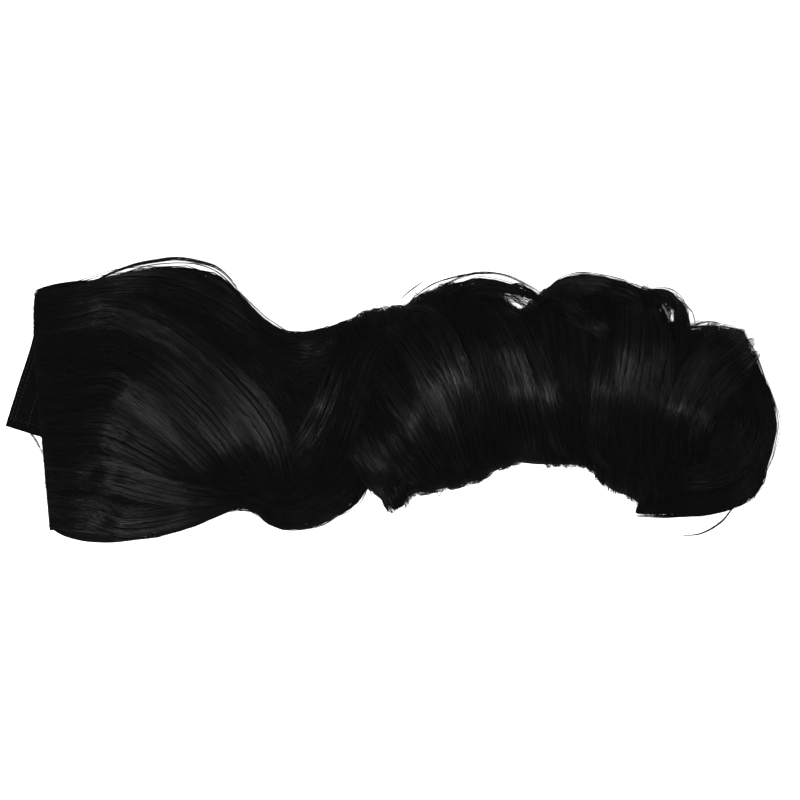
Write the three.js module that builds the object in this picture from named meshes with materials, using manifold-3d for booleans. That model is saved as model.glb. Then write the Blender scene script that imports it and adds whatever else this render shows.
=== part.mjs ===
// A one-piece clip-in hair extension with long wavy hair, lying on a flat surface with its band folded once.
// Units are millimetres and +Z is up. +X runs from the sewn edge to the tips, and +Y towards the band's fold.

import * as THREE from "three";
import { mergeVertices } from "three/addons/utils/BufferGeometryUtils.js";
import Module from "manifold-3d";

const wasm = await Module();
wasm.setup();

// Driving dimensions
const gap = 0.3; // between pieces that touch
const bandWidth = 32;
const bandWall = 1.6;
const foldRadius = 4;
const foldSteps = 5;
const stationsPerRow = 2; // lofted sections between two rows of the weft table

const clipCount = 4;
const clipLength = 30;
const clipWidth = 12;
const clipWall = 2.4;
const clipFromEdge = 18; // centre of a clip, measured across the band from the sewn edge
const clipGap = 0.6; // the stitched clip stands this far off the band, which bends a little under it
const clipTeeth = 6;
const clipSpan = [0.08, 0.78]; // centres of the first and last clip, as shares of the band's length

const fallStart = -214; // where the hair leaves the band and reaches the surface below
const fallSides = 18;
const bellyShare = 0.4; // share of the height at which the fall is widest
const sideAngle = 14; // locks beyond this angle from the belly lie beside the fall, not on it
const lockRings = 9;
const lockSides = 5;
const lockSink = 5; // how deep a lock's underside is buried in the fall
const lockEdge = 2; // how deep its edges are
const joinTolerance = 0.05; // slivers left by joining the locks are closed up to this size

// The sewn edge of the band, in plan and height, with the depth of hair sewn on its outer face.
// spread is how far the hair fans out sideways by the time it leaves the band.
const upperWeft = [
  { x: -251.5, y: -95.5, z: 6.5, hair: 10, spread: -10 },
  { x: -254.5, y: -57, z: 9.5, hair: 15, spread: -2 },
  { x: -256.5, y: -27, z: 13, hair: 15, spread: 0 },
  { x: -259.5, y: 10, z: 14.5, hair: 14, spread: 0 },
  { x: -262, y: 46, z: 14.5, hair: 12.4, spread: 1 },
  { x: -262, y: 68, z: 14.5, hair: 8, spread: 2 },
  { x: -261.5, y: 74, z: 14.5, hair: 6.5, spread: 2 },
];
const lowerWeft = [
  { x: -260, y: 74, z: 6.5, hair: 5, spread: 2 },
  { x: -260.5, y: 68, z: 6.5, hair: 5, spread: 2 },
  { x: -264, y: 45, z: 6.5, hair: 5, spread: 0 },
  { x: -274, y: 13, z: 6.5, hair: 5, spread: 0 },
  { x: -284, y: -19, z: 6.5, hair: 5, spread: 0 },
];

// How the sewn hair rises from the stitched edge: share of the hair's depth at a distance across the band.
const headProfile = [
  { across: -0.8, share: 0.28 },
  { across: 7, share: 0.42 },
  { across: 17, share: 0.6 },
  { across: 29, share: 0.8 },
  { across: 40, share: 0.97 },
];
const headReach = fallStart + 8; // the sewn hair keeps its depth this far
const headTail = { length: 24, share: 0.3, fan: 0.3 }; // and then thins out inside the fall

// The fall: the pile of hair as sections along X, without the locks that stand out of it.
const fall = [
  { x: -262, mid: -6, half: 84, height: 25 },
  { x: -214, mid: -8.5, half: 93, height: 26 },
  { x: -185, mid: -3.5, half: 98, height: 26.8 },
  { x: -152, mid: 1.5, half: 95, height: 28.3 },
  { x: -123, mid: 3.5, half: 85.5, height: 30.3 },
  { x: -109, mid: -1, half: 75, height: 31 },
  { x: -100, mid: -9.5, half: 72.5, height: 31 },
  { x: -90, mid: -16.5, half: 71, height: 30 },
  { x: -75, mid: -20, half: 69, height: 27.5 },
  { x: -50, mid: -16, half: 68, height: 28.5 },
  { x: -33, mid: -8.5, half: 67, height: 31 },
  { x: -17, mid: 0, half: 66, height: 34 },
  { x: 5, mid: 1.5, half: 67, height: 41 },
  { x: 14, mid: 1.5, half: 71.5, height: 43 },
  { x: 29, mid: 7, half: 74.5, height: 45 },
  { x: 45, mid: 10.5, half: 75.5, height: 44 },
  { x: 61, mid: 10, half: 70.5, height: 42 },
  { x: 76, mid: 14, half: 66, height: 40 },
  { x: 92, mid: 9.5, half: 56.5, height: 39 },
  { x: 104, mid: 13, half: 62, height: 37 },
  { x: 113, mid: 16, half: 65, height: 35 },
  { x: 126, mid: 18, half: 67, height: 35 },
  { x: 142, mid: 19, half: 69.5, height: 36 },
  { x: 157, mid: 9.5, half: 76, height: 42 },
  { x: 171, mid: 5, half: 77, height: 46 },
  { x: 188, mid: -1.5, half: 82, height: 48 },
  { x: 197, mid: -10.5, half: 72.5, height: 47.5 },
  { x: 204, mid: -14, half: 68, height: 46.5 },
  { x: 217, mid: -14, half: 67, height: 45 },
  { x: 235, mid: -12.5, half: 66, height: 43 },
  { x: 250, mid: -12.5, half: 61.5, height: 40 },
  { x: 259, mid: -15, half: 54, height: 36 },
  { x: 265, mid: -15, half: 40, height: 31 },
  { x: 271, mid: -17, half: 28, height: 26 },
  { x: 275.5, mid: -17, half: 14, height: 20 },
  { x: 278.5, mid: -17, half: 5, height: 16 },
];

// The locks, each a raised strand of hair that winds over the fall, from its root to its tip.
// x and y are the plan of its middle line. half is half its width, and crown is how far its middle
// stands out of the fall, below zero where the end of a lock dives under its neighbours.
const locks = [
  { // over the far hump beside the fold
    x: [-208, -181, -158, -136, -113, -91, -66], y: [83, 87, 83, 76, 62, 45, 36],
    half: [6, 9, 12, 13, 13, 10, 7], crown: [-2, 5, 6, 5, 4, 2, -3],
  },
  { // the sweep from the band down to the first bowl, top lock
    x: [-208, -190, -159, -127, -98, -82, -76], y: [65, 62, 48, 22, -11, -44, -82],
    half: [14, 15, 15, 15, 15, 13, 8], crown: [-2, 5, 4.5, 4, 5, 6, -3],
  },
  { // the sweep, second lock
    x: [-208, -190, -164, -135, -111, -94], y: [40, 36, 20, -6, -36, -67],
    half: [14, 15, 16, 16, 15, 9], crown: [-2, 4, 3.5, 4, 5, -3],
  },
  { // the sweep, third lock
    x: [-208, -195, -176, -150, -128, -110], y: [10, 5, -7, -30, -52, -67],
    half: [14, 15, 15, 15, 13, 8], crown: [-2, 4, 4, 4, 4, -3],
  },
  { // the sweep, lowest lock
    x: [-208, -195, -179, -150, -119], y: [-23, -28, -36, -53, -68],
    half: [15, 16, 15, 14, 8], crown: [-2, 4, 4, 4, -3],
  },
  { // the hem
    x: [-208, -192, -172, -142, -111], y: [-54, -58, -64, -70, -73],
    half: [14, 15, 14, 12, 7], crown: [-3, 2, 3, 3, -3],
  },
  { // the outer edge of the hem
    x: [-208, -194, -176, -148, -116], y: [-88, -91, -90, -84, -79],
    half: [12, 13, 13, 11, 6], crown: [-3, 2, 3, 3, -3],
  },
  { // the bowl of the first wave
    x: [-102, -88, -69, -49, -31, -18], y: [-76, -86, -89, -82, -70, -55],
    half: [7, 11, 12, 12, 11, 7], crown: [-3, 3, 4, 4, 4, -3],
  },
  { // the ribbon that rises out of the bowl
    x: [-82, -70, -60, -51, -44, -36, -22], y: [-52, -36, -22, -6, 10, 30, 50],
    half: [6, 8, 8, 8, 8, 9, 8], crown: [-3, 3, 5, 6, 6, 5, -3],
  },
  { // beside the rising ribbon
    x: [-64, -47, -35, -25, -13, 6], y: [-80, -51, -20, 9, 36, 57],
    half: [9, 14, 16, 16, 14, 8], crown: [-3, 3, 3, 3, 3, -3],
  },
  { // behind the first wave
    x: [-90, -69, -52, -33], y: [40, 36, 38, 47],
    half: [6, 9, 9, 6], crown: [-2, 3, 3, -2],
  },
  { // the tuft with cut ends below the second curl
    x: [-35, -24, -9, 0, 3], y: [-15, -36, -55, -70, -80],
    half: [8, 11, 14, 14, 8], crown: [-2, 5, 6, 6, 4],
  },
  { // second curl, first lock
    x: [-30, -17, -2, 12, 23], y: [20, -7, -32, -51, -64],
    half: [10, 14, 15, 13, 8], crown: [-3, 3, 4, 4, -3],
  },
  { // second curl, second lock
    x: [-26, -7, 11, 27, 40], y: [44, 20, -6, -33, -57],
    half: [10, 14, 15, 14, 9], crown: [-3, 4, 6, 5, -3],
  },
  { // second curl, third lock
    x: [-15, 6, 24, 39, 50, 58], y: [58, 44, 19, -10, -40, -53],
    half: [9, 13, 14, 14, 12, 8], crown: [-3, 5, 7, 7, 5, -3],
  },
  { // second curl, last lock
    x: [5, 25, 39, 49, 57, 64], y: [64, 57, 36, 7, -22, -45],
    half: [8, 12, 12, 12, 11, 7], crown: [-3, 5, 7, 7, 6, -3],
  },
  { // third curl, first lock
    x: [38, 52, 63, 72, 77, 82], y: [70, 60, 38, 4, -26, -42],
    half: [7, 10, 11, 11, 10, 8], crown: [-3, 3, 4, 4, 2, -4],
  },
  { // third curl, second lock
    x: [50, 70, 84, 95, 104], y: [74, 59, 31, -4, -41],
    half: [9, 13, 13, 13, 11], crown: [-3, 5, 8.5, 11, -2],
  },
  { // third curl, last lock
    x: [62, 86, 99, 112, 125], y: [71, 57, 33, -8, -40],
    half: [8, 11, 11, 11, 9], crown: [-3, 2, 5, 10.5, 2],
  },
  { // the thin arc that stands clear behind the third curl
    x: [32, 47, 62, 77, 93, 108], y: [76, 82, 84, 83.5, 80.5, 76],
    half: [4, 5, 5, 5.5, 6, 5], crown: [-1, 2, 2, 2, 2, -1],
  },
  { // the lock that crosses the valley behind the third curl
    x: [102, 119, 135, 150, 157], y: [72, 70, 61, 51, 36],
    half: [6, 8, 9, 7, 4], crown: [-2, 5, 6, 5, -3],
  },
  { // over the far hump of the end curl
    x: [104, 124, 145, 165, 184], y: [74, 83.5, 85.5, 80.5, 73],
    half: [8, 10, 11, 11, 9], crown: [-2, 3, 3, 4, -1],
  },
  { // end curl, first lock
    x: [155, 155, 151, 149, 160], y: [57, 26, -6, -34, -55],
    half: [9, 13, 13, 13, 8], crown: [-3, 5, 6, 5, -3],
  },
  { // end curl, second lock
    x: [171, 172, 167, 164, 174], y: [76, 44, 7, -29, -62],
    half: [11, 13, 13, 13, 9], crown: [-2, 9, 6, 2, -3],
  },
  { // end curl, third lock
    x: [186, 189, 188, 184, 188, 191], y: [74, 44, 11, -22, -55, -78],
    half: [11, 14, 14, 13, 12, 9], crown: [-2, 8, 6, 3, 3, -2],
  },
  { // the lobe on the far side of the end curl, clear of the fall at its top
    x: [184, 195, 203, 208.5, 207, 200], y: [81, 78, 72, 62, 37, 11],
    half: [7, 8.5, 7.5, 5.5, 8, 6], crown: [-2, 2, 2, 4, 5, -3],
  },
  { // the lock that comes back from the cut ends
    x: [258, 243, 224, 210, 201, 201], y: [48, 42, 28, 8, -16, -40],
    half: [9, 11, 12, 12, 11, 7], crown: [1, 6, 7, 7, 5, -3],
  },
  { // beside it, nearer the eye of the curl
    x: [262, 249, 233, 222, 218, 224], y: [33, 23, 8, -12, -32, -50],
    half: [8, 11, 11, 10, 9, 6], crown: [1, 5, 5, 5, 4, -3],
  },
  { // the rim of the end curl
    x: [259.5, 264, 268.5, 266, 258, 243, 212, 174], y: [34, 13, -12, -36, -59.5, -73, -79, -82],
    half: [8, 10, 11, 12, 12, 12, 11, 7], crown: [-2, 4, 5, 5, 5, 4, 4, 2],
  },
  { // inside the rim
    x: [254.5, 260, 254.5, 241, 220.5, 198], y: [15, -10, -34, -50, -57, -60],
    half: [7, 10, 11, 11, 11, 8], crown: [-3, 5, 6, 6, 5, -3],
  },
  { // the eye of the end curl
    x: [240, 248, 244, 233], y: [0, -12, -28, -35],
    half: [6, 8, 8, 5], crown: [-2, 5, 5, -3],
  },
];

// Smooth interpolation through the values of one column
function through(values, t) {
  const last = values.length - 1;
  const at = THREE.MathUtils.clamp(t, 0, 1) * last;
  const i = Math.min(Math.floor(at), last - 1);
  const f = at - i;
  const [a, b, c, d] = [i - 1, i, i + 1, i + 2].map((k) => values[THREE.MathUtils.clamp(k, 0, last)]);
  const slopeIn = (c - a) / 2;
  const slopeOut = (d - b) / 2;
  return (
    b * (2 * f ** 3 - 3 * f ** 2 + 1) +
    slopeIn * (f ** 3 - 2 * f ** 2 + f) +
    c * (3 * f ** 2 - 2 * f ** 3) +
    slopeOut * (f ** 3 - f ** 2)
  );
}

// The section of the fall at a place along X
function fallAt(x) {
  const last = fall.length - 1;
  const after = fall.findIndex((row) => row.x > x);
  const i = after < 0 ? last - 1 : Math.max(after - 1, 0);
  const t = (i + (x - fall[i].x) / (fall[i + 1].x - fall[i].x)) / last;
  const column = (name) => through(fall.map((row) => row[name]), t);
  return { mid: column("mid"), half: column("half"), height: column("height") };
}

// A point on the surface of the fall. round is 0 on its far side (+Y), 90 on its ridge, 180 on its near side.
function fallPoint(x, round) {
  const { mid, half, height } = fallAt(x);
  const angle = THREE.MathUtils.degToRad(round);
  const y = mid + half * Math.cos(angle);
  const z = height * (bellyShare + (1 - bellyShare) * Math.sin(angle));
  return new THREE.Vector3(x, y, z);
}

// The directions of the surface along x and round it, and the way out of the hair
function fallFrame(x, round) {
  const alongX = fallPoint(x + 1, round).sub(fallPoint(x - 1, round)).divideScalar(2);
  const alongRound = fallPoint(x, round + 1).sub(fallPoint(x, round - 1)).divideScalar(2);
  const out = alongRound.clone().cross(alongX).normalize();
  return { alongX, alongRound, out };
}

// Where a place in plan lies on the fall: its angle, and how far it is beside the fall
function fallRound(x, y) {
  const { mid, half } = fallAt(x);
  const limit = Math.cos(THREE.MathUtils.degToRad(sideAngle));
  const cosine = THREE.MathUtils.clamp((y - mid) / half, -limit, limit);
  return { round: THREE.MathUtils.radToDeg(Math.acos(cosine)), beside: y - mid - half * cosine };
}

// A closed mesh through rings of equal point count, with fan caps at both ends
function loft(rings) {
  const sides = rings[0].length;
  const positions = rings.flat().flatMap((p) => p.toArray());
  const index = [];
  for (let r = 0; r + 1 < rings.length; r++) {
    for (let s = 0; s < sides; s++) {
      const next = (s + 1) % sides;
      const [a, b] = [r * sides + s, r * sides + next];
      const [c, d] = [a + sides, b + sides];
      index.push(a, b, d, a, d, c);
    }
  }
  const end = (rings.length - 1) * sides;
  for (let s = 1; s + 1 < sides; s++) {
    index.push(0, s + 1, s);
    index.push(end, end + s, end + s + 1);
  }
  const geometry = new THREE.BufferGeometry();
  geometry.setAttribute("position", new THREE.Float32BufferAttribute(positions, 3));
  geometry.setIndex(index);
  return geometry;
}

// Joining and cutting
function toSolid(geometry) {
  const bare = geometry.clone();
  bare.deleteAttribute("normal");
  bare.deleteAttribute("uv");
  const merged = mergeVertices(bare);
  const mesh = new wasm.Mesh({
    numProp: 3,
    vertProperties: merged.attributes.position.array,
    triVerts: new Uint32Array(merged.index.array),
  });
  const solid = new wasm.Manifold(mesh);
  return solid.volume() < 0 ? toSolid(turnedRound(merged)) : solid;
}

function turnedRound(geometry) {
  const turned = geometry.clone();
  const index = Array.from(turned.index.array);
  for (let i = 0; i < index.length; i += 3) [index[i + 1], index[i + 2]] = [index[i + 2], index[i + 1]];
  turned.setIndex(index);
  return turned;
}

function toGeometry(solid) {
  const mesh = solid.getMesh();
  const geometry = new THREE.BufferGeometry();
  geometry.setAttribute("position", new THREE.Float32BufferAttribute(mesh.vertProperties, 3));
  geometry.setIndex(new THREE.BufferAttribute(mesh.triVerts, 1));
  geometry.computeVertexNormals();
  return geometry;
}

// The path of the sewn edge: along the upper layer, round the fold and back along the lower layer
function weftRows() {
  const top = upperWeft.at(-1);
  const under = lowerWeft[0];
  const fold = [];
  for (let i = 1; i < foldSteps; i++) {
    const share = i / foldSteps;
    const mix = (name) => THREE.MathUtils.lerp(top[name], under[name], share);
    fold.push({
      x: mix("x"),
      y: mix("y") + foldRadius * Math.sin(Math.PI * share),
      z: (top.z + under.z) / 2 + foldRadius * Math.cos(Math.PI * share),
      hair: mix("hair"),
      spread: mix("spread"),
    });
  }
  return [...upperWeft, ...fold, ...lowerWeft];
}

const weft = weftRows();
const weftCurve = new THREE.CatmullRomCurve3(weft.map((row) => new THREE.Vector3(row.x, row.y, row.z)));

// A place on the sewn edge, with the directions along the band, across it and out of its hair side
function weftFrame(t) {
  const edge = weftCurve.getPoint(t);
  const along = weftCurve.getTangent(t);
  const out = new THREE.Vector3(1, 0, 0).cross(along).normalize();
  const across = along.clone().cross(out).normalize();
  const hair = through(weft.map((row) => row.hair), t);
  const spread = through(weft.map((row) => row.spread), t);
  const at = (a, b) => edge.clone().addScaledVector(across, a).addScaledVector(out, b);
  return { edge, along, across, out, hair, spread, at };
}

function weftFrames() {
  const steps = (weft.length - 1) * stationsPerRow;
  return Array.from({ length: steps + 1 }, (_, i) => weftFrame(i / steps));
}

function baseBand() {
  const half = bandWall / 2;
  const rings = weftFrames().map(({ at }) => [
    at(0, -half),
    at(bandWidth, -half),
    at(bandWidth, half),
    at(0, half),
  ]);
  return toGeometry(toSolid(loft(rings)));
}

// The hair where it is sewn on the band, running on past the band into the fall
function sewnHead() {
  const bottom = bandWall / 2 + gap;
  const rings = weftFrames().map(({ edge, across, hair, spread, at }) => {
    const reach = (headReach - edge.x) / across.x;
    const end = reach + headTail.length;
    const fan = (share) => new THREE.Vector3(0, spread * share, 0);
    const crest = ({ across: a, share }) => at(a, bottom + hair * share).add(fan(Math.max(a, 0) / reach));
    return [
      at(bandWidth, bottom),
      at(0, bottom),
      at(headProfile[0].across, bottom),
      ...headProfile.map(crest),
      crest({ across: reach, share: 1 }),
      at(end, bottom + hair * headTail.share).add(fan(headTail.fan)),
      at(end, bottom).add(fan(headTail.fan)),
    ];
  });
  return toSolid(loft(rings));
}

function fallBody() {
  const rows = fall.filter((row) => row.x >= fallStart);
  const angles = Array.from({ length: fallSides }, (_, s) => (360 * s) / fallSides);
  return toSolid(loft(rows.map(({ x }) => angles.map((round) => fallPoint(x, round)))));
}

// One lock: a crowned strip that follows the surface of the fall, its underside buried in it
function lockBody(lock) {
  const middle = (t) => {
    const [x, y] = [through(lock.x, t), through(lock.y, t)];
    return { x, ...fallRound(x, y) };
  };
  const shift = (point, y) => point.add(new THREE.Vector3(0, y, 0));
  const on = (t) => {
    const { x, round, beside } = middle(THREE.MathUtils.clamp(t, 0, 1));
    return shift(fallPoint(x, round), beside);
  };
  const step = 0.02;
  const rings = [];
  for (let r = 0; r < lockRings; r++) {
    const t = r / (lockRings - 1);
    const { x, round, beside } = middle(t);
    const { alongX, alongRound, out } = fallFrame(x, round);
    const across = out.clone().cross(on(t + step).sub(on(t - step))).normalize();
    const [xx, xr, rr] = [alongX.dot(alongX), alongX.dot(alongRound), alongRound.dot(alongRound)];
    const [ax, ar] = [across.dot(alongX), across.dot(alongRound)];
    const perX = (ax * rr - ar * xr) / (xx * rr - xr * xr);
    const perRound = (ar * xx - ax * xr) / (xx * rr - xr * xr);
    const half = through(lock.half, t);
    const crown = through(lock.crown, t);
    const point = (u, rise) => {
      const [px, pr] = [x + u * half * perX, round + u * half * perRound];
      return shift(fallPoint(px, pr).addScaledVector(fallFrame(px, pr).out, rise), beside);
    };
    const sides = Array.from({ length: lockSides }, (_, s) => (2 * s) / (lockSides - 1) - 1);
    const top = sides.map((u) => point(u, crown * Math.sqrt(1 - u * u) - lockEdge * u * u));
    const under = sides.slice(1, -1).reverse().map((u) => point(u, Math.min(crown, 0) - lockSink));
    rings.push([...top, ...under]);
  }
  return toSolid(loft(rings));
}

function hairFall() {
  const reach = 700;
  const depth = 60;
  const ground = new THREE.BoxGeometry(reach, reach, depth).translate(0, 0, -depth / 2);
  let hair = fallBody().add(sewnHead());
  for (const lock of locks) hair = hair.add(lockBody(lock));
  return toGeometry(outerSkin(hair.subtract(toSolid(ground))).simplify(joinTolerance));
}

// The outside alone, because the tiny hollows closed in between crossing locks are full of hair
function outerSkin(solid) {
  return solid.decompose().reduce((a, b) => (b.volume() > a.volume() ? b : a));
}

// A plain snap clip: a round-nosed plate with a row of slots that leave the teeth of its comb between them
function snapClip() {
  const [l, w] = [clipLength / 2, clipWidth / 2];
  const nose = w * 0.55;
  const cornerSteps = 3;
  const outline = [];
  for (const [i, [sx, sy]] of [[1, 1], [-1, 1], [-1, -1], [1, -1]].entries()) {
    for (let k = 0; k <= cornerSteps; k++) {
      const angle = (i + k / cornerSteps) * (Math.PI / 2);
      outline.push(new THREE.Vector2(
        sx * (l - nose) + nose * Math.cos(angle),
        sy * (w - nose) + nose * Math.sin(angle),
      ));
    }
  }
  const plate = new THREE.Shape(outline);
  const pitch = (clipLength * 0.6) / clipTeeth;
  const slotHalf = pitch * 0.28;
  for (let i = 0; i < clipTeeth; i++) {
    const x = (i - (clipTeeth - 1) / 2) * pitch;
    const reach = w * (0.7 - 0.04 * i); // the slots shorten towards the nose
    plate.holes.push(new THREE.Path([
      new THREE.Vector2(x - slotHalf, -reach),
      new THREE.Vector2(x - slotHalf, reach),
      new THREE.Vector2(x + slotHalf, reach),
      new THREE.Vector2(x + slotHalf, -reach),
    ]));
  }
  return new THREE.ExtrudeGeometry(plate, { depth: clipWall, bevelEnabled: false });
}

const hairMaterial = new THREE.MeshStandardMaterial({ color: 0x121214, roughness: 0.42, metalness: 0 });
const bandMaterial = new THREE.MeshStandardMaterial({ color: 0x0d0d10, roughness: 0.9, metalness: 0 });
const clipMaterial = new THREE.MeshStandardMaterial({ color: 0x17171a, roughness: 0.45, metalness: 0.6 });

function named(name, geometry, material) {
  const mesh = new THREE.Mesh(geometry, material);
  mesh.name = name;
  return mesh;
}

const extension = new THREE.Group();
extension.add(named("hair_fall", hairFall(), hairMaterial));
extension.add(named("base_band", baseBand(), bandMaterial));

for (let i = 0; i < clipCount; i++) {
  const share = THREE.MathUtils.lerp(...clipSpan, i / (clipCount - 1));
  const frame = weftFrame(weftCurve.getUtoTmapping(share));
  const clip = named(`snap_clip_${i + 1}`, snapClip(), clipMaterial);
  const inner = -bandWall / 2 - clipGap - clipWall;
  clip.matrixAutoUpdate = false;
  clip.matrix.makeBasis(frame.along, frame.out.clone().cross(frame.along), frame.out);
  clip.matrix.setPosition(frame.at(clipFromEdge, inner));
  extension.add(clip);
}

// The origin is under the middle of the whole piece, on the surface that it lies on
extension.updateMatrixWorld(true);
const box = new THREE.Box3().setFromObject(extension, true);
const middle = box.getCenter(new THREE.Vector3());
extension.position.set(-middle.x, -middle.y, -box.min.z);

export default extension;
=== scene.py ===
# Wavy clip-in hair extension, dressed around its frame. Tables are in millimetres, Blender is in metres.
import math
import bmesh
import bpy
import numpy as np
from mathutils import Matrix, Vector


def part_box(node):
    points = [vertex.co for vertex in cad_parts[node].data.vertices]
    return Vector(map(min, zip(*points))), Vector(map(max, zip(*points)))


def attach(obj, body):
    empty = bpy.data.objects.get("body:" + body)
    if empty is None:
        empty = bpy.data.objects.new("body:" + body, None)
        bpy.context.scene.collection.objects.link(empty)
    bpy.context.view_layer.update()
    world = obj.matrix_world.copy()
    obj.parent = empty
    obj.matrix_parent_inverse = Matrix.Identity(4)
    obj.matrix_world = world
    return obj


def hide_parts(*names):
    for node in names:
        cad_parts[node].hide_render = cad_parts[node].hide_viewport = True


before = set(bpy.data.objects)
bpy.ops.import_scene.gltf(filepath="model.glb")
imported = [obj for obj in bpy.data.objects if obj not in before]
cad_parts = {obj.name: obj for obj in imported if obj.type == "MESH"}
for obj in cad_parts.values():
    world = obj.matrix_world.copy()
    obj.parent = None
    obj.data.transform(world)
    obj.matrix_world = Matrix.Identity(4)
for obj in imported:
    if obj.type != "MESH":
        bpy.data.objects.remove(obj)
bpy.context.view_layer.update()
print("frame loaded:", ", ".join(sorted(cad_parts)))

mm = 0.001
scene = bpy.context.scene


# Curves through table rows

def hermite(start, end, slopeIn, slopeOut, f):
    return (
        start * (2 * f**3 - 3 * f**2 + 1)
        + slopeIn * (f**3 - 2 * f**2 + f)
        + end * (3 * f**2 - 2 * f**3)
        + slopeOut * (f**3 - f**2)
    )


def through(values, t):  # smooth through one column, t from 0 to 1
    column = np.asarray(values, float)
    last = len(column) - 1
    place = np.clip(t, 0, 1) * last
    i = np.minimum(np.floor(place).astype(int), last - 1)
    before = column[np.maximum(i - 1, 0)]
    after = column[np.minimum(i + 2, last)]
    slopeIn = (column[i + 1] - before) / 2
    slopeOut = (after - column[i]) / 2
    return hermite(column[i], column[i + 1], slopeIn, slopeOut, place - i)


def centripetal(points, t):  # a path in space that keeps its shape at uneven rows
    last = len(points) - 1
    place = min(max(t, 0.0), 1.0) * last
    i = min(int(place), last - 1)
    a, b = points[i], points[i + 1]
    before = points[i - 1] if i > 0 else 2 * a - b
    after = points[i + 2] if i + 2 <= last else 2 * b - a
    back, step, ahead = (np.linalg.norm(v) ** 0.5 for v in (a - before, b - a, after - b))
    slopeIn = (a - before) / back - (b - before) / (back + step) + (b - a) / step
    slopeOut = (b - a) / step - (after - a) / (step + ahead) + (after - b) / ahead
    return hermite(a, b, slopeIn * step, slopeOut * step, place - i)


def unit(v):
    return v / np.linalg.norm(v, axis=-1, keepdims=True)


def dot(a, b):
    return (a * b).sum(-1)


def smoothStep(low, high, x):
    f = np.clip((x - low) / (high - low), 0, 1)
    return f * f * (3 - 2 * f)


# The sewn edge of the band: along the upper layer, round the fold, back along the lower layer

band = {
    "width": 32,
    "wall": 1.6,
    "gap": 0.3,          # between the band and the hair sewn on it
    "foldRadius": 4,
    "foldSteps": 5,
    "upperShare": 0.4,   # the upper layer lies in this share of the run
    "upperSteps": 80,
}
upperWeft = [  # x, y, z of the sewn edge, the depth of hair on it, and how far this fans out sideways
    (-251.5, -95.5, 6.5, 10, -10), (-254.5, -57, 9.5, 15, -2), (-256.5, -27, 13, 15, 0),
    (-259.5, 10, 14.5, 14, 0), (-262, 46, 14.5, 12.4, 1), (-262, 68, 14.5, 8, 2), (-261.5, 74, 14.5, 6.5, 2),
]
lowerWeft = [
    (-260, 74, 6.5, 5, 2), (-260.5, 68, 6.5, 5, 2), (-264, 45, 6.5, 5, 0), (-274, 13, 6.5, 5, 0),
    (-284, -19, 6.5, 5, 0),
]


def weftRows():
    top, under = np.array(upperWeft[-1], float), np.array(lowerWeft[0], float)
    rows = [np.array(row, float) for row in upperWeft]
    for i in range(1, band["foldSteps"]):
        share = i / band["foldSteps"]
        row = top + (under - top) * share
        row[1] += band["foldRadius"] * math.sin(math.pi * share)
        row[2] = (top[2] + under[2]) / 2 + band["foldRadius"] * math.cos(math.pi * share)
        rows.append(row)
    return np.array(rows + [np.array(row, float) for row in lowerWeft])


weft = weftRows()


def weftFrame(t):  # the edge, the way across the band, the way out of its hair side, the hair's depth
    nudge = 1e-4
    edge = centripetal(weft[:, :3], t)
    along = unit(centripetal(weft[:, :3], t + nudge) - centripetal(weft[:, :3], t - nudge))
    out = unit(np.cross((1.0, 0.0, 0.0), along))
    across = unit(np.cross(along, out))
    return edge, across, out, float(through(weft[:, 3], t))


def bandCorners():
    corners = []
    for t in np.linspace(0, 1, 2 * (len(weft) - 1) + 1):
        edge, across, out, _ = weftFrame(t)
        for a in (0, band["width"]):
            for side in (-0.5, 0.5):
                corners.append(edge + across * a + out * side * band["wall"])
    return np.array(corners)


# The tables' zero lies here in the frame, because the frame is centred on the whole piece
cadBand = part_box("base_band")
planShift = np.array([*cadBand[0][:2], 0.0]) / mm - np.append(bandCorners().min(0)[:2], 0.0)
print("tables shifted by", np.round(planShift, 2), "mm")


def inFrame(points):
    return (np.asarray(points, float) + planShift) * mm


# The surface of the hair: the fall, the sewn head at its start, and the locks that wind over it

hair = {
    "belly": 0.4,        # share of the height at which the fall is widest
    "sideAngle": 14,     # locks nearer the belly than this lie beside the fall
    "lockEdge": 2.0,     # how deep a lock's edges are sunk
    "lockStep": 0.02,    # share of a lock before and after a row that gives its direction
    "sewnCrown": 0.2,    # least crown of a lock at the stitched edge
    "headEnd": -140,     # the sewn head gives way to the fall here
    "headBlend": 70,
    "leadFull": 20,      # the lead has its full size this far from the stitched edge
    "sheetRows": 41,
    "sheetColumns": 11,
    "ground": 0.5,       # the lowest strand
    "ripple": 0.8,       # waves along a lock
    "rippleLength": 58,
    "rippleMean": 0.8,
    "rippleWaves": ((1, 1, 0.9), (0.6, 1.7, -1.6)),   # size, rate and slant
    "ripplePhase": 1.3,
    "endGloss": 0.45,    # share of the gloss at the ends of a lock with one value, so the ends are duller and painted darker
    "edgeShade": 0.8,    # how much duller a lock is at its edges, and how much darker: painted shade in the creases between locks
}
headProfile = np.array([  # across the band, share of the hair's depth
    (-0.8, 0.28), (7, 0.48), (17, 0.69), (29, 0.87), (40, 0.98), (52, 1.02), (64, 1.03),
])
headLead = np.array([  # along the band, how much sooner the sewn hair lies level there
    (-95, 26), (-84, 19), (-75, 25), (-62, 11), (-48, 18), (-37, 7), (-24, 10), (-5, 2), (20, 0),
    (35, 0), (48, 9), (60, 5), (80, 10),
])
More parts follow.
